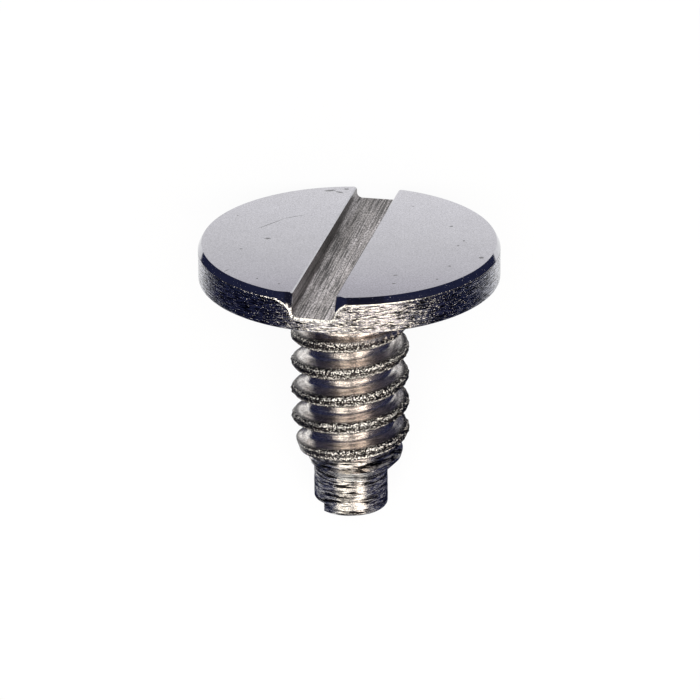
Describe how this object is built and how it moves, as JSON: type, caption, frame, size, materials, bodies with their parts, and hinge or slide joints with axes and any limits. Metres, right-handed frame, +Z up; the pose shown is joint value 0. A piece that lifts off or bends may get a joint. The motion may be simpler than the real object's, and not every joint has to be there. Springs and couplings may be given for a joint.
{
  "type": "ratchet wheel screw",
  "caption": "Slotted watch-movement screw: wide thin polished head, short plain neck, right-hand thread and plain pilot end, lying on its side.",
  "frame": {"origin": "on the surface that the screw lies on, under the middle of its bounding box", "axes": "+Z up; the head's slotted face looks to -Y and upwards, the pilot end points to +Y"},
  "size_m": [0.0026, 0.0028, 0.0024],
  "materials": {
    "polished_steel": "polished"
  },
  "bodies": {
    "root": {"ratchet_wheel_screw": "polished_steel"}
  },
  "joints": []
}
